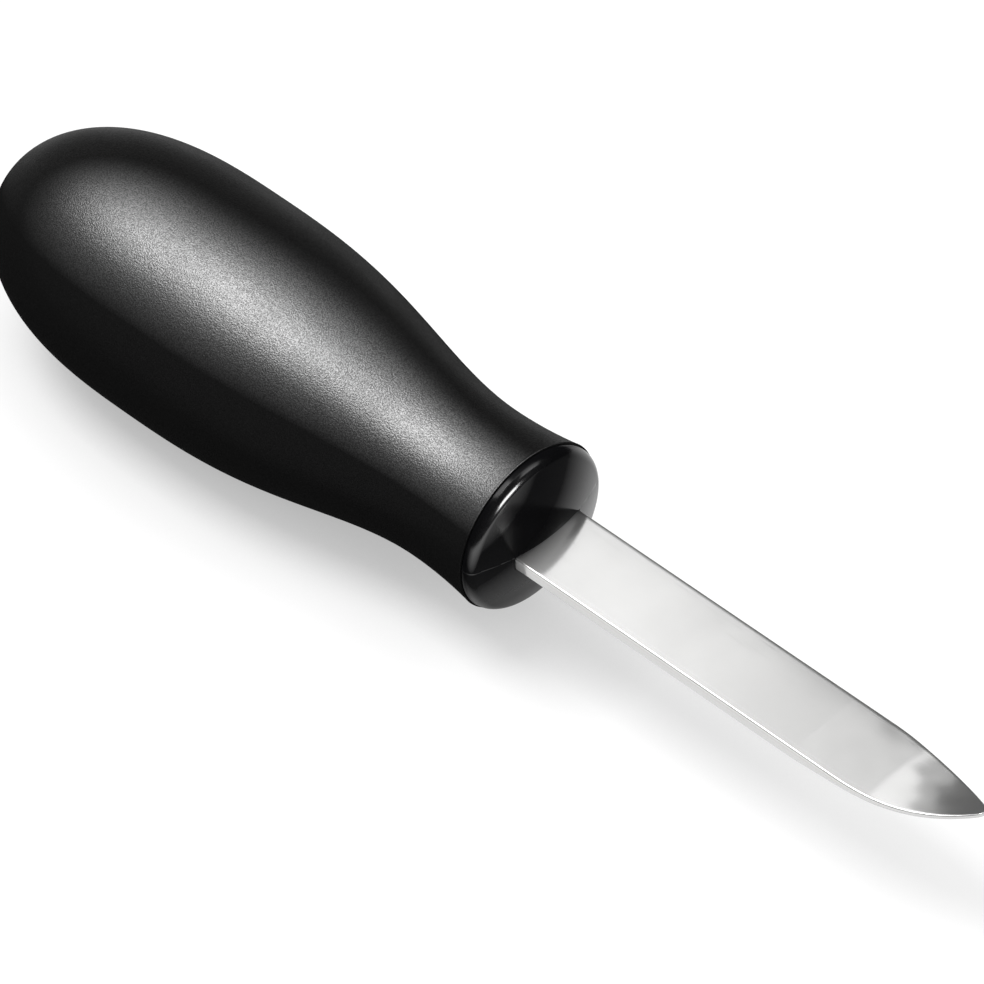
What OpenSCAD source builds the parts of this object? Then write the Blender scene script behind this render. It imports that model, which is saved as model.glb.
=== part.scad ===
// Oyster knife: a fat oval handle with a soft overmoulded grip, two hard core halves that clamp
// the tang, and a blunt spear-point blade whose end is bent up.
// Millimetres. The knife lies along X with its point at +X, the blade's flat is level, +Z is up.
// The origin is below the middle of the whole knife, level with the lowest point of the handle.

/* [Blade] */
// Length of blade that shows, from the nose of the collar to the point
blade_l = 72.8; // [55:0.1:95]
// Width across the blade's two parallel edges
blade_w = 11.8; // [10:0.1:14]
// Thickness of the sheet that the blade is stamped from
blade_t = 2; // [1.4:0.1:2.6]
// Length of the pointed end, where the edges curve in
point_l = 19.7; // [14:0.1:26]
// Length of the stretch at the point that is bent up
bend_l = 15; // [9:0.1:20]
// How far the bend lifts the point
bend_rise = 3.7; // [1:0.1:5]
// Length over which the underside is ground thin
grind_l = 26; // [20:0.5:32]
// Thickness that the grinding leaves at the point
point_t = 0.7; // [0.4:0.1:1.2]
// Radius that blunts the very end of the point
point_r = 1; // [0.6:0.1:1.6]
// Chamfer along the four long edges of the blade
edge_chamfer = 0.3; // [0.1:0.05:0.5]

/* [Tang] */
// Length of the tang inside the handle, behind the nose of the collar
tang_l = 62; // [50:0.5:70]
// Width of the tang behind its shoulders
tang_w = 9; // [7:0.1:10]
// Depth of the full-width shoulders behind the nose of the collar
shoulder_l = 8; // [6:0.1:11]
// How much lower the tang's top lies than the blade's polished top
tang_relief = 0.05; // [0.03:0.01:0.1]
// Diameter of the locating pins that pass through the tang
pin_d = 4; // [3:0.1:4.6]
// Distance from the collar's nose to the first pin
pin_x = 24; // [20:0.5:28]
// Distance between the two pins through the tang
pin_pitch = 26; // [20:0.5:28]

/* [Handle] */
// Length of the handle from the nose of the collar to the butt
handle_l = 98.1; // [88:0.1:112]
// Height of the handle at its fattest place
belly_h = 34.1; // [28:0.1:38]
// Distance from the collar's nose to the fattest place
belly_x = 64; // [56:0.5:70]
// Height of the handle at the neck
neck_h = 22.2; // [20:0.1:25]
// Distance from the collar's nose to the neck
neck_x = 15; // [11:0.5:20]
// Height of the grip at its front edge, behind the collar
lip_h = 23.9; // [21:0.1:26]
// Width of the handle divided by its height, the same all along
oval_ratio = 1.04; // [1:0.01:1.15]
// Distance from the collar's nose to the flat under the grip that stops the knife rolling
foot_x = 48; // [44:0.5:52]
// Depth of that flat, which runs out at the grip's front edge
foot_depth = 0.5; // [0.2:0.05:0.5]
// Fullness of the taper from belly to neck: more keeps the belly fat for longer
taper_fullness = 1.4; // [1:0.05:1.8]
// Fullness of the rounded butt: 2 is an ellipse, more is squarer
butt_fullness = 2.65; // [1.8:0.05:3]
// Thickness of the soft grip round the core
grip_wall = 3.2; // [2.4:0.1:4]
// Thickness of the soft grip behind the butt end of the core
butt_wall = 5; // [3:0.1:8]

/* [Collar] */
// Height of the glossy collar across its rim
collar_h = 23.4; // [21.5:0.1:26]
// Length of the collar, from its nose to the grip's front edge
collar_l = 4.2; // [3.8:0.1:6]
// Radius that rounds the dome into the collar's side
rim_r = 1.7; // [1:0.1:2.2]
// Length of the straight band between the rounded rim and the seam
band_l = 0.35; // [0.3:0.05:0.8]
// Chamfer on the two edges that meet at the seam between collar and grip
seam_chamfer = 0.2; // [0.1:0.05:0.25]

/* [Core] */
// Wall of the moulded core halves
core_wall = 2.4; // [1.8:0.1:3]
// Thickness of the cross ribs inside the core
rib_t = 1.8; // [1.2:0.1:2.4]
// Distance from one cross rib to the next
rib_pitch = 12.5; // [10:0.5:14]
// Clearance between the tang or a pin and what it sits in
fit_clearance = 0.1; // [0.05:0.01:0.2]
// How far each pin enters the lower half, below the tang
pin_reach = 4; // [3:0.1:5]

/* [Hidden] */
$fn = 96;
core_steps = 7;
core_flares = 2;
dome_steps = 22;
taper_steps = 26;
flare_steps = 5;
collar_steps = 10;
arc_steps = 14;
tip_steps = 7;
total_l = handle_l + blade_l;
nose_x = total_l / 2 - blade_l;
axis_z = belly_h / 2;
split_z = blade_t / 2;
hollow_x = 16;
bed_rim = 2;
boss_wall = 2;
pin_xs = [-pin_x, -pin_x - pin_pitch];

// Half-height of the handle at s behind the nose, for a belly and a neck of given half-heights
function flare_r(s, neck, lip) =
    neck + (lip - neck) * pow((neck_x - s) / (neck_x - collar_l), 2);
function taper_r(s, neck, belly) =
    belly - (belly - neck) * (1 - cos(180 * pow((belly_x - s) / (belly_x - neck_x), taper_fullness))) / 2;
function dome_half(u, belly) = belly * sqrt(1 - pow(u, butt_fullness));

// Profile of a handle-shaped solid that is inset by wall, and ends inset by end_wall, in steps
function handle_profile(wall, end_wall, flares, tapers, domes) =
    let (
        neck = neck_h / 2 - wall,
        belly = belly_h / 2 - wall,
        lip = lip_h / 2 - wall,
        dome_l = handle_l - end_wall - belly_x
    )
    concat(
        [for (i = [0 : flares - 1])
            let (s = collar_l + (neck_x - collar_l) * i / flares)
            [flare_r(s, neck, lip), s]],
        [for (i = [0 : tapers - 1])
            let (s = neck_x + (belly_x - neck_x) * i / tapers)
            [taper_r(s, neck, belly), s]],
        [for (i = [0 : domes - 1])
            let (u = sin(90 * i / domes))
            [dome_half(u, belly), belly_x + dome_l * u]]
    );

// Turns a profile of [radius, distance behind the nose] into a round solid along -X.
// Four quarter turns keep the surfaces exact once they are widened.
module turned(profile) {
    rotate([0, -90, 0])
        for (quarter = [0 : 3])
            rotate([0, 0, 90 * quarter])
                rotate_extrude(angle = 90)
                    polygon(profile);
}

// Widens round solids to the handle's oval
module ovalled() {
    scale([1, oval_ratio, 1])
        children();
}

// Solid inside the whole grip: outer shape of the soft grip, from its front edge to the butt
module grip_envelope() {
    side = handle_profile(0, 0, flare_steps, taper_steps, dome_steps);
    lip = lip_h / 2;
    turned(concat(
        [[0, collar_l], [lip - seam_chamfer, collar_l], [lip, collar_l + seam_chamfer]],
        [for (p = side) if (p[1] > collar_l + 2 * seam_chamfer) p],
        [[0, handle_l]]
    ));
}

// Everything below the flat that the knife rests on, level with the bottom of the front edge
module below_foot() {
    lip = lip_h / 2;
    rest_r = taper_r(foot_x, neck_h / 2, belly_h / 2) - foot_depth;
    lean = atan((rest_r - lip) / (foot_x - collar_l));
    translate([-collar_l, 0, -lip])
        rotate([0, -lean, 0])
            translate([-handle_l, -belly_h, -belly_h])
                cube([2 * handle_l, 2 * belly_h, belly_h]);
}

// Outer shape of the closed core behind the collar, which the grip is moulded on
module core_envelope() {
    side = handle_profile(grip_wall, butt_wall, core_flares, core_steps, core_steps);
    turned(concat([[0, collar_l]], side, [[0, handle_l - butt_wall]]));
}

// Room inside the core's walls
module core_hollow() {
    wall = grip_wall + core_wall;
    side = handle_profile(wall, butt_wall + core_wall, core_flares, core_steps, core_steps);
    behind = [for (p = side) if (p[1] > hollow_x) p];
    turned(concat(
        [[0, hollow_x], [behind[0][0], hollow_x]],
        behind,
        [[0, handle_l - butt_wall - core_wall]]
    ));
}

// Glossy front of the core: a dome that runs into a rounded rim without a crease
module collar_solid() {
    rim_c = collar_h / 2 - rim_r;
    rim_s = collar_l - band_l;
    dome_r = (rim_c * rim_c + rim_s * rim_s - rim_r * rim_r) / (2 * (rim_s - rim_r));
    lean = asin(rim_c / (dome_r - rim_r));
    turned(concat(
        [for (i = [0 : collar_steps])
            let (a = lean * i / collar_steps)
            [dome_r * sin(a), dome_r * (1 - cos(a))]],
        [for (i = [1 : collar_steps])
            let (a = lean + (90 - lean) * i / collar_steps)
            [rim_c + rim_r * sin(a), rim_s - rim_r * cos(a)]],
        [
            [collar_h / 2, collar_l - seam_chamfer],
            [collar_h / 2 - seam_chamfer, collar_l],
            [0, collar_l]
        ]
    ));
}

// Everything on one side of the plane that splits the core
module half_space(side) {
    reach = handle_l + blade_l;
    translate([-reach, -reach, side > 0 ? split_z : split_z - 2 * reach])
        cube([2 * reach, 2 * reach, 2 * reach]);
}

// Plan of the channel that takes the tang and its shoulders with clearance, open at the nose
module tang_channel() {
    translate([-shoulder_l - fit_clearance, -blade_w / 2 - fit_clearance])
        square([shoulder_l + collar_l, blade_w + 2 * fit_clearance]);
    translate([-tang_l - fit_clearance, -tang_w / 2 - fit_clearance])
        square([tang_l, tang_w + 2 * fit_clearance]);
}

// Plan of the blade: tang, shoulders, parallel edges, and two arcs that run into a blunt point
module blade_plan() {
    half = blade_w / 2;
    start = blade_l - point_l;
    end_x = point_l - point_r;
    arc_r = (end_x * end_x + half * half - point_r * point_r) / (2 * (half - point_r));
    reach = asin(end_x / (arc_r - point_r));
    upper = [for (i = [0 : arc_steps])
        let (a = reach * i / arc_steps)
        [start + arc_r * sin(a), half - arc_r * (1 - cos(a))]];
    tip = [for (i = [1 : tip_steps])
        let (a = (90 - reach) * (1 - i / tip_steps))
        [start + end_x + point_r * cos(a), point_r * sin(a)]];
    root = [[-tang_l, tang_w / 2], [-shoulder_l, tang_w / 2], [-shoulder_l, half]];
    side = concat(root, upper, tip);
    polygon(concat(side, [for (i = [len(side) - 2 : -1 : 0]) [side[i][0], -side[i][1]]]));
}

// Side view of the blade: flat, then bent up on an arc, with the underside ground thin
module blade_side() {
    bend_x = blade_l - bend_l;
    bend_r = (bend_l * bend_l + bend_rise * bend_rise) / (2 * bend_rise);
    grind_x = blade_l - grind_l;
    function top_z(x) =
        blade_t / 2 + (x > bend_x ? bend_r - sqrt(bend_r * bend_r - pow(x - bend_x, 2)) : 0);
    function thick(x) = point_t + (blade_t - point_t) * pow(1 - (x - grind_x) / grind_l, 2);
    top = [for (i = [0 : arc_steps]) let (x = bend_x + bend_l * i / arc_steps) [x, top_z(x)]];
    under = [for (i = [2 * arc_steps : -1 : 0])
        let (x = grind_x + grind_l * i / (2 * arc_steps))
        [x, top_z(x) - thick(x)]];
    polygon(concat([[-tang_l, blade_t / 2]], top, under, [[-tang_l, -blade_t / 2]]));
}

// Cross-section of the blade with its four chamfers, tall enough to hold the bend
module blade_section() {
    half = blade_w / 2;
    low = -blade_t / 2;
    high = blade_t / 2;
    inner = half - edge_chamfer;
    polygon([
        [-inner, low], [inner, low], [half, low + edge_chamfer], [half, high - edge_chamfer],
        [inner, high], [inner, high + bend_rise + blade_t], [-inner, high + bend_rise + blade_t],
        [-inner, high], [-half, high - edge_chamfer], [-half, low + edge_chamfer]
    ]);
}

// Stamped stainless blade with its hidden tang
module blade() {
    color([0.78, 0.79, 0.8])
        place()
            difference() {
                intersection() {
                    rotate([90, 0, 0])
                        linear_extrude(height = 2 * blade_w, center = true)
                            blade_side();
                    translate([0, 0, -2 * blade_t])
                        linear_extrude(height = 4 * blade_t + 2 * bend_rise)
                            blade_plan();
                    translate([-tang_l - blade_t, 0, 0])
                        rotate([90, 0, 90])
                            linear_extrude(height = total_l)
                                blade_section();
                }
                for (x = pin_xs)
                    translate([x, 0, -blade_t])
                        cylinder(h = 2 * blade_t, d = pin_d + 2 * fit_clearance);
                translate([-total_l, -blade_w, blade_t / 2 - tang_relief])
                    cube([total_l, 2 * blade_w, blade_t]);
            }
}

// Cross ribs of the core: thin walls across the hollow at an even pitch
module cross_ribs() {
    back = handle_l - butt_wall - core_wall;
    count = floor((back - hollow_x) / rib_pitch);
    for (i = [1 : count])
        translate([-hollow_x - i * rib_pitch - rib_t / 2, -belly_h, -belly_h])
            cube([rib_t, 2 * belly_h, 2 * belly_h]);
}

// Raised bed in the lower half that the tang lies in
module tang_bed() {
    translate([-tang_l - bed_rim, -tang_w / 2 - bed_rim, -belly_h])
        cube([tang_l + bed_rim, tang_w + 2 * bed_rim, 2 * belly_h]);
}

// Round posts that hold the pins, down the height of the core
module pin_posts(d) {
    for (x = pin_xs)
        translate([x, 0, -belly_h])
            cylinder(h = 2 * belly_h, d = d);
}

// Solid half of the core with its hollow cut out, keeping the ribs and one more shape
module ribbed_half(side) {
    difference() {
        intersection() {
            ovalled()
                union() {
                    collar_solid();
                    core_envelope();
                }
            half_space(side);
        }
        difference() {
            intersection() {
                ovalled()
                    core_hollow();
                half_space(side);
            }
            cross_ribs();
            children();
        }
    }
}

// Lower core half: collar half, ribbed wall, and the channel that takes the tang flush
module core_lower() {
    color([0.1, 0.1, 0.11])
        place()
            difference() {
                ribbed_half(-1)
                    tang_bed();
                translate([0, 0, -blade_t / 2])
                    linear_extrude(height = 2 * blade_t)
                        tang_channel();
                for (x = pin_xs)
                    translate([x, 0, -blade_t / 2 - pin_reach - fit_clearance])
                        cylinder(h = pin_reach + blade_t, d = pin_d + 2 * fit_clearance);
            }
}

// Upper core half: collar half and ribbed wall, flat on the tang, with two pins through it
module core_upper() {
    color([0.14, 0.14, 0.15])
        place() {
            ribbed_half(1)
                pin_posts(pin_d + 2 * boss_wall);
            for (x = pin_xs)
                translate([x, 0, -blade_t / 2 - pin_reach])
                    cylinder(h = pin_reach + 2 * blade_t, d = pin_d);
        }
}

// Soft grip moulded over the closed core, from the collar's seam round the butt
module grip() {
    color([0.2, 0.2, 0.21])
        place()
            difference() {
                ovalled()
                    difference() {
                        grip_envelope();
                        core_envelope();
                    }
                below_foot();
            }
}

// Moves a piece from the nose of the collar to the knife's own frame
module place() {
    translate([nose_x, 0, axis_z])
        children();
}

blade();
core_lower();
core_upper();
grip();
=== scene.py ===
from math import asin, cos, pi, radians, sin, sqrt

import bmesh
import bpy
from mathutils import Matrix, Vector


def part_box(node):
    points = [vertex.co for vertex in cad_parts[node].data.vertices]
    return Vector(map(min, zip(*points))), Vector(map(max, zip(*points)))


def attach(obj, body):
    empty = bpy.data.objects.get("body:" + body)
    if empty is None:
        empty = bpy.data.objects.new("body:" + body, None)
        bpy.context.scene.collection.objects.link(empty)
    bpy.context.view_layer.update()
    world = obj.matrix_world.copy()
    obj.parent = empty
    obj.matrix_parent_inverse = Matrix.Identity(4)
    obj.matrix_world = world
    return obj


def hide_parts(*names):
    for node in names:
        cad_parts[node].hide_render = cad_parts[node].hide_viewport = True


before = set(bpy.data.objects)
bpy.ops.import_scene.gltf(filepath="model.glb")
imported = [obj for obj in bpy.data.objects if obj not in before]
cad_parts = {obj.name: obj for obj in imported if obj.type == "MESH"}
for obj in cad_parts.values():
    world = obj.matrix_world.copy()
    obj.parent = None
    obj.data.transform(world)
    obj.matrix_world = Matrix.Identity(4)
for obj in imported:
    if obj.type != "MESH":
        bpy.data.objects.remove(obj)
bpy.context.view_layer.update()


# ---------------------------------------------------------------- blade
# Blade: one stamping of 2 mm stainless sheet, tumble-polished after the underside was ground
# thin towards the point. Its end is pressed up on an arc, and its tang goes into the core.
MM = 0.001
BLADE_L = 72.8 * MM
BLADE_W = 11.8 * MM
BLADE_T = 2.0 * MM
POINT_L = 19.7 * MM
POINT_R = 1.0 * MM
BEND_L = 15.0 * MM
BEND_RISE = 3.7 * MM
GRIND_L = 26.0 * MM
POINT_T = 0.7 * MM
EDGE_R = 0.2 * MM
CROWN = 0.09 * MM
TANG_L = 62.0 * MM
TANG_W = 9.0 * MM
SHOULDER_L = 8.0 * MM
SHOULDER_STEP = 0.01 * MM
CREASE = radians(38)

# +X runs to the point. The collar's nose is at NOSE_X, and the knife's axis is AXIS_Z high.
point_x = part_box("blade")[1][0]
grip_low, grip_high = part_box("grip")
NOSE_X = point_x - BLADE_L
AXIS_Z = (grip_low[2] + grip_high[2]) / 2


def add(tree, kind, put=None, feed=None, **settings):
    """Adds a node, sets its sockets from put and links other sockets into it from feed."""
    made = tree.nodes.new(kind)
    for name, value in settings.items():
        setattr(made, name, value)
    for name, value in (put or {}).items():
        made.inputs[name].default_value = value
    for name, socket in (feed or {}).items():
        tree.links.new(socket, made.inputs[name])
    return made


def linear(hex_colour):
    """sRGB hex to the linear colour that a shader takes."""
    parts = [int(hex_colour[i:i + 2], 16) / 255 for i in (1, 3, 5)]
    return tuple(c / 12.92 if c <= 0.04045 else ((c + 0.055) / 1.055) ** 2.4
                 for c in parts) + (1.0,)


def blank_material(name):
    """A material with only its shader and output, ready for nodes."""
    made = bpy.data.materials.new(name)
    made.use_nodes = True
    tree = made.node_tree
    tree.nodes.clear()
    shader = add(tree, "ShaderNodeBsdfPrincipled")
    out = add(tree, "ShaderNodeOutputMaterial", feed={"Surface": shader.outputs["BSDF"]})
    return made, tree, shader, out


def mesh_piece(name, mesh, material):
    """Links a mesh as a piece of the knife, smooth except at its real edges."""
    piece = bpy.data.objects.new(name, mesh)
    bpy.context.scene.collection.objects.link(piece)
    mesh.materials.clear()
    mesh.materials.append(material)
    mesh.shade_smooth()
    mesh.set_sharp_from_angle(angle=CREASE)
    return piece


# Stainless sheet, polished by tumbling: a sharp mirror under a soft bloom, with a faint grain
# along the blade, hairline scratches from use and smudges that dull it in patches. The end was
# ground and pressed by hand, so it is slightly wavy and its reflections break up. The grain is
# drawn 0.2 mm apart, several times the real spacing, so that it shows.
BLOOM_SHARE = 0.28
stainless, tree, shader, out = blank_material("tumbled_stainless_steel")
where = add(tree, "ShaderNodeTexCoord")
along = add(tree, "ShaderNodeMapping", put={"Scale": (1.0, 14.0, 14.0)},
            feed={"Vector": where.outputs["Object"]})
grain = add(tree, "ShaderNodeTexNoise", put={"Scale": 420.0, "Detail": 5.0, "Roughness": 0.65},
            feed={"Vector": along.outputs["Vector"]})
smudge = add(tree, "ShaderNodeTexNoise", put={"Scale": 90.0, "Detail": 3.0, "Roughness": 0.5},
             feed={"Vector": where.outputs["Object"]})
skew = add(tree, "ShaderNodeMapping", put={"Rotation": (0, 0, 0.35), "Scale": (1.0, 30.0, 30.0)},
           feed={"Vector": where.outputs["Object"]})
hair = add(tree, "ShaderNodeTexNoise", put={"Scale": 160.0, "Detail": 2.0, "Roughness": 0.4},
           feed={"Vector": skew.outputs["Vector"]})
hairline = add(tree, "ShaderNodeMapRange",
               put={"From Min": 0.66, "From Max": 0.72, "To Min": 0.0, "To Max": 1.0},
               feed={"Value": hair.outputs["Fac"]})
base = add(tree, "ShaderNodeMix", put={"A": linear("#d6d6d5"), "B": linear("#cacac9")},
           feed={"Factor": smudge.outputs["Fac"]}, data_type="RGBA")
dull = add(tree, "ShaderNodeMapRange",
           put={"From Min": 0.3, "From Max": 0.7, "To Min": 0.09, "To Max": 0.13},
           feed={"Value": smudge.outputs["Fac"]})
rough = add(tree, "ShaderNodeMath", put={1: 0.05},
            feed={0: hairline.outputs["Result"], 2: dull.outputs["Result"]},
            operation="MULTIPLY_ADD")
relief = add(tree, "ShaderNodeMath", put={1: 0.5},
             feed={0: hairline.outputs["Result"], 2: grain.outputs["Fac"]},
             operation="MULTIPLY_ADD")
axes = add(tree, "ShaderNodeSeparateXYZ", feed={"Vector": where.outputs["Object"]})
ground = add(tree, "ShaderNodeMapRange",
             put={"From Min": point_x - GRIND_L, "From Max": point_x - BEND_L,
                  "To Min": 0.0, "To Max": 1.0},
             feed={"Value": axes.outputs["X"]})
wavy = add(tree, "ShaderNodeTexNoise", put={"Scale": 150.0, "Detail": 1.0, "Roughness": 0.4},
           feed={"Vector": where.outputs["Object"]})
wave = add(tree, "ShaderNodeMath",
           feed={0: wavy.outputs["Fac"], 1: ground.outputs["Result"]}, operation="MULTIPLY")
hand = add(tree, "ShaderNodeBump", put={"Strength": 1.0, "Distance": 0.12 * MM},
           feed={"Height": wave.outputs["Value"]})
bump = add(tree, "ShaderNodeBump", put={"Strength": 0.12, "Distance": 0.006 * MM},
           feed={"Height": relief.outputs["Value"], "Normal": hand.outputs["Normal"]})
shader.inputs["Metallic"].default_value = 1.0
tree.links.new(base.outputs["Result"], shader.inputs["Base Color"])
tree.links.new(rough.outputs["Value"], shader.inputs["Roughness"])
tree.links.new(bump.outputs["Normal"], shader.inputs["Normal"])
bloom = add(tree, "ShaderNodeBsdfPrincipled", put={"Metallic": 1.0, "Roughness": 0.42},
            feed={"Base Color": base.outputs["Result"], "Normal": bump.outputs["Normal"]})
both = add(tree, "ShaderNodeMixShader", put={0: BLOOM_SHARE},
           feed={1: shader.outputs["BSDF"], 2: bloom.outputs["BSDF"]})
tree.links.new(both.outputs["Shader"], out.inputs["Surface"])

# The point's two sides are arcs that run into a small round tip, and the bend is a third arc.
half_w = BLADE_W / 2
arc_start = BLADE_L - POINT_L
end_x = POINT_L - POINT_R
arc_r = (end_x ** 2 + half_w ** 2 - POINT_R ** 2) / (2 * (half_w - POINT_R))
reach = asin(end_x / (arc_r - POINT_R))
bend_r = (BEND_L ** 2 + BEND_RISE ** 2) / (2 * BEND_RISE)


def blade_top(x):
    """Height of the upper face above the axis, x in front of the nose."""
    past = max(0.0, x - (BLADE_L - BEND_L))
    return BLADE_T / 2 + bend_r - sqrt(bend_r ** 2 - past ** 2)


def blade_thickness(x):
    """Thickness x in front of the nose: full sheet, then hollow-ground towards the point."""
    past = max(0.0, x - (BLADE_L - GRIND_L)) / GRIND_L
    return POINT_T + (BLADE_T - POINT_T) * (1 - past) ** 2


# Stations along the blade, each (distance in front of the nose, half-width). The tip's last one
# stops just short of zero width, so that the end is closed by a small face.
SIDE_STEPS = 40
ARC_STEPS = 48
TIP_STEPS = 12
TIP_REACH = 12.2
stations = [(-TANG_L, TANG_W / 2), (-SHOULDER_L - SHOULDER_STEP, TANG_W / 2),
            (-SHOULDER_L, half_w)]
stations += [(arc_start * i / SIDE_STEPS, half_w) for i in range(SIDE_STEPS)]
for i in range(ARC_STEPS + 1):
    turn = reach * i / ARC_STEPS
    stations.append((arc_start + arc_r * sin(turn), half_w - arc_r * (1 - cos(turn))))
for i in range(1, TIP_STEPS + 1):
    turn = (pi / 2 - reach) * (1 - i / TIP_REACH)
    stations.append((arc_start + end_x + POINT_R * cos(turn), POINT_R * sin(turn)))

# Each station's ring: a faintly crowned top, rounded edges and a flat underside. Points across
# the top gather towards the edges.
TOP_STEPS = 20
CORNER_STEPS = 6
GATHER = 0.35
CORNER_OF_THICKNESS = 0.42
CORNER_OF_HALF_WIDTH = 0.6
bm = bmesh.new()
rings = []
for x, half in stations:
    thick = blade_thickness(x)
    top = blade_top(x)
    corner = min(EDGE_R, CORNER_OF_THICKNESS * thick, CORNER_OF_HALF_WIDTH * half)
    inner = half - corner
    ring = []
    for i in range(TOP_STEPS + 1):
        share = -1 + 2 * i / TOP_STEPS
        y = inner * (sin(share * pi / 2) * GATHER + share * (1 - GATHER))
        ring.append((y, top - CROWN * (y / half_w) ** 2))
    high = ring[-1][1]
    low = top - thick
    for i in range(1, CORNER_STEPS):
        a = pi / 2 * i / CORNER_STEPS
        ring.append((inner + corner * sin(a), high - corner * (1 - cos(a))))
    for i in range(CORNER_STEPS):
        a = pi / 2 * i / CORNER_STEPS
        ring.append((inner + corner * cos(a), low + corner * (1 - sin(a))))
    ring += [(-y, low) for y in (-inner, -inner / 2, 0, inner / 2, inner)]
    for i in range(1, CORNER_STEPS + 1):
        a = pi / 2 * i / CORNER_STEPS
        ring.append((-inner - corner * sin(a), low + corner * (1 - cos(a))))
    for i in range(CORNER_STEPS - 1):
        a = pi / 2 * (i + 0.5) / CORNER_STEPS
        ring.append((-inner - corner * cos(a), high - corner * (1 - sin(a))))
    rings.append([bm.verts.new((NOSE_X + x, y, AXIS_Z + z)) for y, z in ring])
for a, b in zip(rings, rings[1:]):
    for i in range(len(a)):
        j = (i + 1) % len(a)
        bm.faces.new((a[i], a[j], b[j], b[i]))
bm.faces.new(rings[0])
bm.faces.new(rings[-1])
bmesh.ops.recalc_face_normals(bm, faces=bm.faces)
blade_mesh = bpy.data.meshes.new("blade_sheet")
bm.to_mesh(blade_mesh)
bm.free()
blade = mesh_piece("blade_sheet", blade_mesh, stainless)
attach(blade, "root")
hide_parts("blade")


# ---------------------------------------------------------------- core and collar
# Core: two halves injection-moulded in black ABS that clamp the tang and are bonded round it.
# Their front ends make the collar, a glossy dome with a rounded rim, split by a fine parting line.
HANDLE_L = 98.1 * MM
BELLY_H = 34.1 * MM
BELLY_X = 64.0 * MM
NECK_H = 22.2 * MM
NECK_X = 15.0 * MM
LIP_H = 23.9 * MM
OVAL = 1.04
TAPER_FULLNESS = 1.4
BUTT_FULLNESS = 2.65
GRIP_WALL = 3.2 * MM
BUTT_WALL = 5.0 * MM
COLLAR_H = 23.4 * MM
COLLAR_L = 4.2 * MM
RIM_R = 1.7 * MM
BAND_L = 0.35 * MM
SEAM_R = 0.2 * MM
FIT = 0.1 * MM
PARTING = 0.05 * MM
PARTING_ANGLE = radians(50)
TURN_SIDES = 192
WELD_GAP = 0.001 * MM
SLIVER = 0.0001 * MM
HIDDEN_RINGS = 10


def handle_line(wall, end_wall, rings):
    """(distance behind the nose, half-height) along a handle-shaped solid inset by its walls."""
    neck, belly, lip = NECK_H / 2 - wall, BELLY_H / 2 - wall, LIP_H / 2 - wall
    line = []
    for i in range(rings):
        s = COLLAR_L + (NECK_X - COLLAR_L) * i / rings
        line.append((s, neck + (lip - neck) * ((NECK_X - s) / (NECK_X - COLLAR_L)) ** 2))
    for i in range(2 * rings):
        s = NECK_X + (BELLY_X - NECK_X) * i / (2 * rings)
        share = ((BELLY_X - s) / (BELLY_X - NECK_X)) ** TAPER_FULLNESS
        line.append((s, belly - (belly - neck) * (1 - cos(pi * share)) / 2))
    for i in range(2 * rings + 1):
        u = sin(pi / 2 * i / (2 * rings))
        line.append((BELLY_X + (HANDLE_L - end_wall - BELLY_X) * u,
                     belly * sqrt(max(0.0, 1 - u ** BUTT_FULLNESS))))
    return line


# Turned oval solid: carries a line of (distance behind the nose, radius) round the knife's axis.
# A flat grid has one column for each point of the line and one row for each side, and each of its
# points is moved to its place on the solid.
turning = bpy.data.node_groups.new("turned_oval_solid", "GeometryNodeTree")
face = turning.interface
face.new_socket("Line", in_out="INPUT", socket_type="NodeSocketGeometry")
for label, kind, default in (("Sides", "NodeSocketInt", TURN_SIDES),
                             ("Oval", "NodeSocketFloat", OVAL),
                             ("Finish", "NodeSocketMaterial", None)):
    socket = face.new_socket(label, in_out="INPUT", socket_type=kind)
    if default is not None:
        socket.default_value = default
face.new_socket("Solid", in_out="OUTPUT", socket_type="NodeSocketGeometry")
given = add(turning, "NodeGroupInput")
line_size = add(turning, "GeometryNodeAttributeDomainSize",
                feed={"Geometry": given.outputs["Line"]})
round_count = add(turning, "ShaderNodeMath", put={1: 1.0}, feed={0: given.outputs["Sides"]},
                  operation="ADD")
skin = add(turning, "GeometryNodeMeshGrid", put={"Size X": 1.0, "Size Y": 1.0},
           feed={"Vertices X": line_size.outputs["Point Count"],
                 "Vertices Y": round_count.outputs["Value"]})
place = add(turning, "GeometryNodeInputPosition")
on_grid = add(turning, "ShaderNodeSeparateXYZ", feed={"Vector": place.outputs["Position"]})
last = add(turning, "ShaderNodeMath", put={1: 1.0},
           feed={0: line_size.outputs["Point Count"]}, operation="SUBTRACT")
from_start = add(turning, "ShaderNodeMath", put={1: 0.5}, feed={0: on_grid.outputs["X"]},
                 operation="ADD")
step = add(turning, "ShaderNodeMath",
           feed={0: from_start.outputs["Value"], 1: last.outputs["Value"]}, operation="MULTIPLY")
whole = add(turning, "ShaderNodeMath", feed={0: step.outputs["Value"]}, operation="ROUND")
angle = add(turning, "ShaderNodeMath", put={1: 2 * pi}, feed={0: on_grid.outputs["Y"]},
            operation="MULTIPLY")
point = add(turning, "GeometryNodeSampleIndex", data_type="FLOAT_VECTOR", domain="POINT")
turning.links.new(given.outputs["Line"], point.inputs["Geometry"])
turning.links.new(place.outputs["Position"], point.inputs["Value"])
turning.links.new(whole.outputs["Value"], point.inputs["Index"])
on_line = add(turning, "ShaderNodeSeparateXYZ", feed={"Vector": point.outputs["Value"]})
sine = add(turning, "ShaderNodeMath", feed={0: angle.outputs["Value"]}, operation="SINE")
cosine = add(turning, "ShaderNodeMath", feed={0: angle.outputs["Value"]}, operation="COSINE")
side = add(turning, "ShaderNodeMath",
           feed={0: on_line.outputs["Z"], 1: sine.outputs["Value"]}, operation="MULTIPLY")
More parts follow.
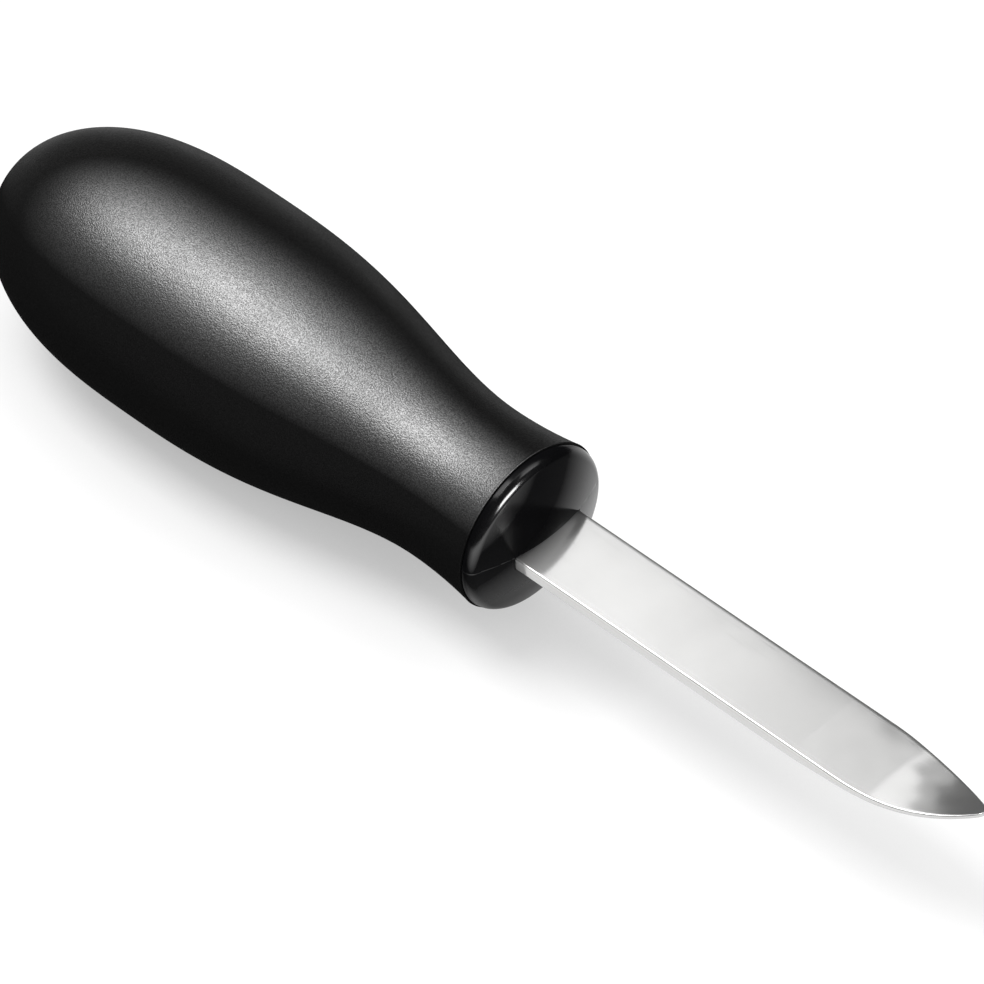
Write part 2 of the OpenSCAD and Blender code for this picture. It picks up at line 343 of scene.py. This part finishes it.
wide = add(turning, "ShaderNodeMath",
           feed={0: side.outputs["Value"], 1: given.outputs["Oval"]}, operation="MULTIPLY")
height = add(turning, "ShaderNodeMath",
             feed={0: on_line.outputs["Z"], 1: cosine.outputs["Value"]}, operation="MULTIPLY")
spot = add(turning, "ShaderNodeCombineXYZ",
           feed={"X": on_line.outputs["X"], "Y": wide.outputs["Value"],
                 "Z": height.outputs["Value"]})
carried = add(turning, "GeometryNodeSetPosition",
              feed={"Geometry": skin.outputs["Mesh"], "Position": spot.outputs["Vector"]})
closed = add(turning, "GeometryNodeMergeByDistance", put={"Distance": WELD_GAP},
             feed={"Geometry": carried.outputs["Geometry"]})
real = add(turning, "GeometryNodeRealizeInstances",
           feed={"Geometry": closed.outputs["Geometry"]})
finished = add(turning, "GeometryNodeSetMaterial",
               feed={"Geometry": real.outputs["Geometry"], "Material": given.outputs["Finish"]})
add(turning, "NodeGroupOutput", feed={"Solid": finished.outputs["Geometry"]})


def turned_mesh(name, line, finish):
    """Plain mesh of a line turned round the knife's axis, set in place with its normals outward."""
    mesh = bpy.data.meshes.new(name)
    mesh.from_pydata([(-s, 0, r) for s, r in line], [(i, i + 1) for i in range(len(line) - 1)], [])
    holder = bpy.data.objects.new(name + "_line", mesh)
    bpy.context.scene.collection.objects.link(holder)
    turner = holder.modifiers.new("turned", "NODES")
    turner.node_group = turning
    ids = {item.name: item.identifier for item in turning.interface.items_tree}
    turner[ids["Finish"]] = finish
    holder.update_tag()
    evaluated = holder.evaluated_get(bpy.context.evaluated_depsgraph_get())
    solid = bpy.data.meshes.new_from_object(evaluated)
    bpy.data.objects.remove(holder)
    solid.transform(Matrix.Translation((NOSE_X, 0, AXIS_Z)))
    cleaned = bmesh.new()
    cleaned.from_mesh(solid)
    bmesh.ops.dissolve_degenerate(cleaned, dist=SLIVER, edges=cleaned.edges)
    bmesh.ops.recalc_face_normals(cleaned, faces=cleaned.faces)
    cleaned.to_mesh(solid)
    cleaned.free()
    return solid


def cut_and_cap(bm, **plane):
    """Cuts a closed mesh with bisect_plane's own settings and fills the opening that it leaves."""
    cut = bmesh.ops.bisect_plane(bm, geom=bm.verts[:] + bm.edges[:] + bm.faces[:], **plane)
    opening = [e for e in cut["geom_cut"] if isinstance(e, bmesh.types.BMEdge)]
    bmesh.ops.contextual_create(bm, geom=opening)
    bmesh.ops.recalc_face_normals(bm, faces=bm.faces)


# ABS from a polished mould: deep black with a sharp gloss and a very slight waviness from
# shrinkage. Rub marks add a little haze. Below the axis the gloss is cut and the surface made
# rougher, painted shade darker towards the bottom, and a narrow band beside the seam has its gloss
# cut too, painted shade that takes a highlight off it. The gloss is strong seen square on, dies
# away on the dome's shoulder and comes back at a glance.
UNDERSIDE_SHADE_LOW = 7 * MM
UNDERSIDE_SHADE_HIGH = 1 * MM
SEAM_SHADE_FROM = 0.7 * MM
SEAM_SHADE_TO = 1.3 * MM
gloss_abs, tree, shader, out = blank_material("polished_mould_abs")
where = add(tree, "ShaderNodeTexCoord")
wave = add(tree, "ShaderNodeTexNoise", put={"Scale": 260.0, "Detail": 2.0, "Roughness": 0.4},
           feed={"Vector": where.outputs["Object"]})
haze = add(tree, "ShaderNodeTexNoise", put={"Scale": 900.0, "Detail": 6.0, "Roughness": 0.7},
           feed={"Vector": where.outputs["Object"]})
base = add(tree, "ShaderNodeMix", put={"A": linear("#070708"), "B": linear("#0d0d0e")},
           feed={"Factor": wave.outputs["Fac"]}, data_type="RGBA")
bump = add(tree, "ShaderNodeBump", put={"Strength": 0.15, "Distance": 0.003 * MM},
           feed={"Height": wave.outputs["Fac"]})
glance = add(tree, "ShaderNodeLayerWeight", put={"Blend": 0.5})
inner = add(tree, "ShaderNodeMapRange",
            put={"From Min": 0.12, "From Max": 0.26, "To Min": 1.0, "To Max": 0.02},
            feed={"Value": glance.outputs["Facing"]})
outer = add(tree, "ShaderNodeMapRange",
            put={"From Min": 0.4, "From Max": 0.62, "To Min": 0.0, "To Max": 0.45},
            feed={"Value": glance.outputs["Facing"]})
axes = add(tree, "ShaderNodeSeparateXYZ", feed={"Vector": where.outputs["Object"]})
# Painted shade: the gloss is cut and the roughness raised below the axis, darker towards the
# bottom.
underside_shade = add(tree, "ShaderNodeMapRange",
            put={"From Min": AXIS_Z - UNDERSIDE_SHADE_LOW, "From Max": AXIS_Z - UNDERSIDE_SHADE_HIGH,
                 "To Min": 0.25, "To Max": 1.0},
            feed={"Value": axes.outputs["Z"]})
kept = add(tree, "ShaderNodeMath",
           feed={0: outer.outputs["Result"], 1: underside_shade.outputs["Result"]}, operation="MULTIPLY")
bright = add(tree, "ShaderNodeMath",
             feed={0: inner.outputs["Result"], 1: kept.outputs["Value"]}, operation="ADD")
# Painted shade: the gloss is cut in a narrow band beside the seam, which takes a highlight off it.
seam_shade = add(tree, "ShaderNodeMapRange",
               put={"From Min": NOSE_X - COLLAR_L + SEAM_SHADE_FROM,
                    "From Max": NOSE_X - COLLAR_L + SEAM_SHADE_TO, "To Min": 0.08, "To Max": 1.0},
               feed={"Value": axes.outputs["X"]})
gloss = add(tree, "ShaderNodeMath",
            feed={0: bright.outputs["Value"], 1: seam_shade.outputs["Result"]},
            operation="MULTIPLY")
rub_haze_and_sheen = add(tree, "ShaderNodeMapRange",
             put={"From Min": 0.35, "From Max": 0.75, "To Min": 0.15, "To Max": 0.2},
             feed={"Value": haze.outputs["Fac"]})
underside_rough = add(tree, "ShaderNodeMapRange",
              put={"From Min": 0.25, "From Max": 1.0, "To Min": 0.15, "To Max": 0.0},
              feed={"Value": underside_shade.outputs["Result"]})
rough = add(tree, "ShaderNodeMath",
            feed={0: rub_haze_and_sheen.outputs["Result"], 1: underside_rough.outputs["Result"]}, operation="ADD")
shader.inputs["IOR"].default_value = 1.53
tree.links.new(gloss.outputs["Value"], shader.inputs["Specular IOR Level"])
tree.links.new(base.outputs["Result"], shader.inputs["Base Color"])
tree.links.new(rough.outputs["Value"], shader.inputs["Roughness"])
tree.links.new(bump.outputs["Normal"], shader.inputs["Normal"])

# The core's line: dome, rim, straight band with its small seam radius, then the handle's inside.
DOME_STEPS = 60
RIM_STEPS = 32
SEAM_STEPS = 6
rim_c = COLLAR_H / 2 - RIM_R
rim_s = COLLAR_L - BAND_L
dome_r = (rim_c ** 2 + rim_s ** 2 - RIM_R ** 2) / (2 * (rim_s - RIM_R))
lean = asin(rim_c / (dome_r - RIM_R))
core_line = []
for i in range(DOME_STEPS + 1):
    a = lean * i / DOME_STEPS
    core_line.append((dome_r * (1 - cos(a)), dome_r * sin(a)))
for i in range(1, RIM_STEPS + 1):
    a = lean + (pi / 2 - lean) * i / RIM_STEPS
    core_line.append((rim_s - RIM_R * cos(a), rim_c + RIM_R * sin(a)))
for i in range(SEAM_STEPS + 1):
    a = pi / 2 * i / SEAM_STEPS
    core_line.append((COLLAR_L - SEAM_R * (1 - sin(a)), COLLAR_H / 2 - SEAM_R * (1 - cos(a))))
core_line += handle_line(GRIP_WALL, BUTT_WALL, HIDDEN_RINGS)
core_mesh = turned_mesh("core", core_line, gloss_abs)

# The halves part in the plane of the blade's upper face, and the lower one has the blade's slot.
split_z = AXIS_Z + BLADE_T / 2
for name, node, keep_up in (("core_lower_half", "core_lower", False),
                            ("core_upper_half", "core_upper", True)):
    bm = bmesh.new()
    bm.from_mesh(core_mesh)
    cut_and_cap(bm, plane_co=(0, 0, split_z), plane_no=(0, 0, 1), clear_inner=keep_up,
                clear_outer=not keep_up)
    mesh = bpy.data.meshes.new(name)
    bm.to_mesh(mesh)
    bm.free()
    half = mesh_piece(name, mesh, gloss_abs)
    if not keep_up:
        bm = bmesh.new()
        slot_place = Matrix.Translation((NOSE_X - SHOULDER_L / 2, 0, split_z))
        slot_size = Matrix.Diagonal((SHOULDER_L + 2 * FIT + 2 * COLLAR_L, BLADE_W + 2 * FIT,
                                     2 * BLADE_T, 1))
        bmesh.ops.create_cube(bm, size=1, matrix=slot_place @ slot_size)
        tool_mesh = bpy.data.meshes.new("channel_tool")
        bm.to_mesh(tool_mesh)
        bm.free()
        tool = bpy.data.objects.new("channel_tool", tool_mesh)
        bpy.context.scene.collection.objects.link(tool)
        channel = half.modifiers.new("channel", "BOOLEAN")
        channel.object = tool
        channel.solver = "EXACT"
    edge = half.modifiers.new("parting", "BEVEL")
    edge.width = PARTING
    edge.segments = 2
    edge.limit_method = "ANGLE"
    edge.angle_limit = PARTING_ANGLE
    evaluated = half.evaluated_get(bpy.context.evaluated_depsgraph_get())
    plain = bpy.data.meshes.new_from_object(evaluated)
    half.modifiers.clear()
    half.data = plain
    plain.name = name
    plain.shade_smooth()
    plain.set_sharp_from_angle(angle=CREASE)
    if not keep_up:
        bpy.data.objects.remove(tool)
    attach(half, "root")
    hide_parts(node)


# ---------------------------------------------------------------- grip
# Grip: soft thermoplastic elastomer moulded over the core, fat at the belly and slim at the neck,
# with a shallow flat underneath that the knife lies on.
GRIP_RINGS = 60
LIP_ROUND = 0.1 * MM
LIP_STEPS = 6
FOOT_X = 48.0 * MM
FOOT_DEPTH = 0.5 * MM
FOOT_CLEAR = 0.001 * MM

# Elastomer from a spark-eroded mould: an even matte black grain of fine pits that glint where a
# light meets them. A mask of height round the axis keeps the gloss on the top, a painted sheen,
# and takes it off the flanks, painted shade, where the grain is also rougher. The pits are drawn
# 0.2 mm apart, about twice the real spacing, so that they show.
TOP_SHEEN_REACH = 0.3
elastomer, tree, shader, out = blank_material("spark_textured_elastomer")
where = add(tree, "ShaderNodeTexCoord")
pits = add(tree, "ShaderNodeTexNoise", put={"Scale": 5200.0, "Detail": 1.0, "Roughness": 0.6},
           feed={"Vector": where.outputs["Object"]})
patch = add(tree, "ShaderNodeTexNoise", put={"Scale": 130.0, "Detail": 3.0, "Roughness": 0.55},
            feed={"Vector": where.outputs["Object"]})
base = add(tree, "ShaderNodeMix", put={"A": linear("#0c0c0c"), "B": linear("#151515")},
           feed={"Factor": pits.outputs["Fac"]}, data_type="RGBA")
bump = add(tree, "ShaderNodeBump", put={"Strength": 1.0, "Distance": 0.045 * MM},
           feed={"Height": pits.outputs["Fac"]})
# Painted sheen and shade: the gloss mask below rises with height round the axis, full on the top
# and almost none on the flanks.
from_belly = add(tree, "ShaderNodeVectorMath", put={1: (NOSE_X - BELLY_X, 0, AXIS_Z)},
                 feed={0: where.outputs["Object"]}, operation="SUBTRACT")
butt_side = add(tree, "ShaderNodeVectorMath", put={1: (0, 1, 1)},
                feed={0: from_belly.outputs["Vector"]}, operation="MINIMUM")
swell = add(tree, "ShaderNodeVectorMath", put={1: (TOP_SHEEN_REACH, 1, 1)},
            feed={0: butt_side.outputs["Vector"]}, operation="MULTIPLY")
outward = add(tree, "ShaderNodeVectorMath", feed={0: swell.outputs["Vector"]},
              operation="NORMALIZE")
upward = add(tree, "ShaderNodeSeparateXYZ", feed={"Vector": outward.outputs["Vector"]})
top_sheen_mask = add(tree, "ShaderNodeMapRange",
           put={"From Min": 0.5, "From Max": 0.8, "To Min": 0.02, "To Max": 1.0},
           feed={"Value": upward.outputs["Z"]})
glance = add(tree, "ShaderNodeLayerWeight", put={"Blend": 0.5})
shade = add(tree, "ShaderNodeMapRange",
            put={"From Min": 0.14, "From Max": 0.46, "To Min": 1.0, "To Max": 0.02},
            feed={"Value": glance.outputs["Facing"]}, interpolation_type="SMOOTHSTEP")
rub_haze_and_sheen = add(tree, "ShaderNodeMath",
             feed={0: shade.outputs["Result"], 1: top_sheen_mask.outputs["Result"]}, operation="MULTIPLY")
glint = add(tree, "ShaderNodeMapRange",
            put={"From Min": 0.38, "From Max": 0.62, "To Min": 0.46, "To Max": 1.0},
            feed={"Value": pits.outputs["Fac"]})
sheen = add(tree, "ShaderNodeMath",
            feed={0: rub_haze_and_sheen.outputs["Value"], 1: glint.outputs["Result"]}, operation="MULTIPLY")
worn = add(tree, "ShaderNodeMapRange",
           put={"From Min": 0.35, "From Max": 0.65, "To Min": 0.40, "To Max": 0.44},
           feed={"Value": patch.outputs["Fac"]})
matt = add(tree, "ShaderNodeMapRange",
           put={"From Min": 0.02, "From Max": 1.0, "To Min": 0.2, "To Max": 0.0},
           feed={"Value": top_sheen_mask.outputs["Result"]})
rough = add(tree, "ShaderNodeMath",
            feed={0: worn.outputs["Result"], 1: matt.outputs["Result"]}, operation="ADD")
shader.inputs["IOR"].default_value = 1.74
tree.links.new(sheen.outputs["Value"], shader.inputs["Specular IOR Level"])
tree.links.new(base.outputs["Result"], shader.inputs["Base Color"])
tree.links.new(rough.outputs["Value"], shader.inputs["Roughness"])
tree.links.new(bump.outputs["Normal"], shader.inputs["Normal"])

# The grip's line: front face, small lip radius, the whole outside, then back along the inside.
outside = handle_line(0, 0, GRIP_RINGS)
lip = outside[0][1]
lip_arc = []
for i in range(LIP_STEPS + 1):
    a = pi / 2 * i / LIP_STEPS
    lip_arc.append((COLLAR_L + LIP_ROUND * (1 - sin(a)), lip - LIP_ROUND * (1 - cos(a))))
grip_line = [(COLLAR_L, LIP_H / 2 - GRIP_WALL)] + sorted(lip_arc, key=lambda p: p[0])
grip_line += [p for p in outside if p[0] > COLLAR_L + 1.5 * LIP_ROUND]
grip_line += list(reversed(handle_line(GRIP_WALL, BUTT_WALL, HIDDEN_RINGS)))
grip_mesh = turned_mesh("grip_skin", grip_line, elastomer)

# The flat: a cut that leans from under the lip's edge to FOOT_DEPTH deep at FOOT_X. FOOT_CLEAR
# keeps the plane just off the lip's own points.
share = ((BELLY_X - FOOT_X) / (BELLY_X - NECK_X)) ** TAPER_FULLNESS
foot_r = BELLY_H / 2 - (BELLY_H - NECK_H) / 2 * (1 - cos(pi * share)) / 2 - FOOT_DEPTH
bm = bmesh.new()
bm.from_mesh(grip_mesh)
cut_and_cap(bm, plane_co=(NOSE_X - COLLAR_L, 0, AXIS_Z - LIP_H / 2 - FOOT_CLEAR),
            plane_no=(foot_r - LIP_H / 2, 0, -(FOOT_X - COLLAR_L)), clear_outer=True)
bm.to_mesh(grip_mesh)
bm.free()
grip = mesh_piece("grip_skin", grip_mesh, elastomer)
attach(grip, "root")
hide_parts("grip")


# ---------------------------------------------------------------- stage
# Table: a plain white laminate top, wide enough for every view, that keeps the knife's shadow.
# Most of its white is its own glow, and that glow dims where the knife nearly touches it, a
# painted contact shadow.
TABLE_HALF = 3.0
TABLE_OWN_WHITE = 0.75
CONTACT_SHADOW_REACH = 20 * MM
table_mat, tree, shader, out = blank_material("white_laminate")
shader.inputs["Base Color"].default_value = linear("#f4f4f4")
shader.inputs["Roughness"].default_value = 0.9
shader.inputs["Specular IOR Level"].default_value = 0.0
path = add(tree, "ShaderNodeLightPath")
seen = add(tree, "ShaderNodeMath",
           feed={0: path.outputs["Is Camera Ray"], 1: path.outputs["Is Glossy Ray"]},
           operation="ADD", use_clamp=True)
shown = add(tree, "ShaderNodeMath",
            feed={0: seen.outputs["Value"], 1: path.outputs["Is Transmission Ray"]},
            operation="ADD", use_clamp=True)
own = add(tree, "ShaderNodeMath", put={1: TABLE_OWN_WHITE}, feed={0: shown.outputs["Value"]},
          operation="MULTIPLY")
# Painted contact shadow: the table's glow dims with ambient occlusion where the knife nearly
# touches it.
contact_occlusion = add(tree, "ShaderNodeAmbientOcclusion", put={"Distance": CONTACT_SHADOW_REACH}, samples=12)
painted_contact_shadow = add(tree, "ShaderNodeMapRange",
            put={"From Min": 0.1, "From Max": 0.9, "To Min": 0.55, "To Max": 1.0},
            feed={"Value": contact_occlusion.outputs["AO"]})
glow = add(tree, "ShaderNodeEmission", put={"Color": (1, 1, 1, 1)},
           feed={"Strength": painted_contact_shadow.outputs["Result"]})
both = add(tree, "ShaderNodeMixShader",
           feed={0: own.outputs["Value"], 1: shader.outputs["BSDF"], 2: glow.outputs["Emission"]})
tree.links.new(both.outputs["Shader"], out.inputs["Surface"])
bm = bmesh.new()
bmesh.ops.create_grid(bm, x_segments=1, y_segments=1, size=TABLE_HALF)
table_mesh = bpy.data.meshes.new("table_top")
bm.to_mesh(table_mesh)
bm.free()
table = mesh_piece("table_top", table_mesh, table_mat)

nose = Vector((NOSE_X, 0, AXIS_Z))


def softbox(name, direction, distance, along_x, across, radiance):
    """A flat lamp that far from the nose, facing it, with one side in line with the knife."""
    lamp = bpy.data.lights.new(name, "AREA")
    lamp.shape = "RECTANGLE"
    lamp.size, lamp.size_y = along_x, across
    lamp.energy = radiance * pi * along_x * across
    holder = bpy.data.objects.new(name, lamp)
    way = Vector(direction).normalized()
    side = (Vector((1, 0, 0)) - way * way.x).normalized()
    holder.matrix_world = Matrix((side, way.cross(side), way)).transposed().to_4x4()
    holder.location = nose + way * distance
    bpy.context.scene.collection.objects.link(holder)


# Lamps: the key gives the grip its long highlight, the cards lift the blade and the grip's far
# side, and the side box gives the collar's rim its highlight.
softbox("key_softbox", (-0.34, -0.19, 0.92), 1.1, 0.74, 0.44, 14.5)
softbox("rear_card", (-0.42, 0.30, 0.86), 1.3, 1.6, 0.82, 0.92)
softbox("back_card", (-0.772, 0.26, 0.58), 1.3, 1.2, 0.8, 0.5)
softbox("front_card", (0.30, 0.44, 0.85), 1.3, 0.6, 0.6, 1.3)
softbox("side_box", (0.88, -0.05, 0.47), 1.0, 0.3, 0.42, 14.0)
world = bpy.data.worlds.new("studio")
bpy.context.scene.world = world
world.use_nodes = True
world.node_tree.nodes["Background"].inputs["Color"].default_value = linear("#303030")
world.node_tree.nodes["Background"].inputs["Strength"].default_value = 1.0

# Camera: a long lens 850 mm away, above the blade and to its near side, with the point turned to
# it. The nose falls on NOSE_PX in a frame FRAME_PX wide, where a millimetre is PX_PER_MM pixels.
FRAME_PX = 984
NOSE_PX = (551.05, 541.52)
PX_PER_MM = 7.872
PER_PIXEL = 1 / PX_PER_MM * MM
RANGE = 850 * MM
SENSOR = 36
toward = Vector((0.4919, -0.4912, 0.7189)).normalized()
right = Vector((0.7198, 0.6940, -0.0183))
right = (right - toward * right.dot(toward)).normalized()
up = toward.cross(right)
centre = (nose - right * (NOSE_PX[0] - FRAME_PX / 2) * PER_PIXEL
          + up * (NOSE_PX[1] - FRAME_PX / 2) * PER_PIXEL)
lens = bpy.data.cameras.new("camera")
lens.sensor_width = SENSOR
lens.lens = SENSOR * RANGE / (FRAME_PX * PER_PIXEL)
camera = bpy.data.objects.new("camera", lens)
camera.matrix_world = Matrix((right, up, toward)).transposed().to_4x4()
camera.location = centre + toward * RANGE
bpy.context.scene.collection.objects.link(camera)
bpy.context.scene.camera = camera
bpy.context.scene.view_settings.view_transform = "Standard"
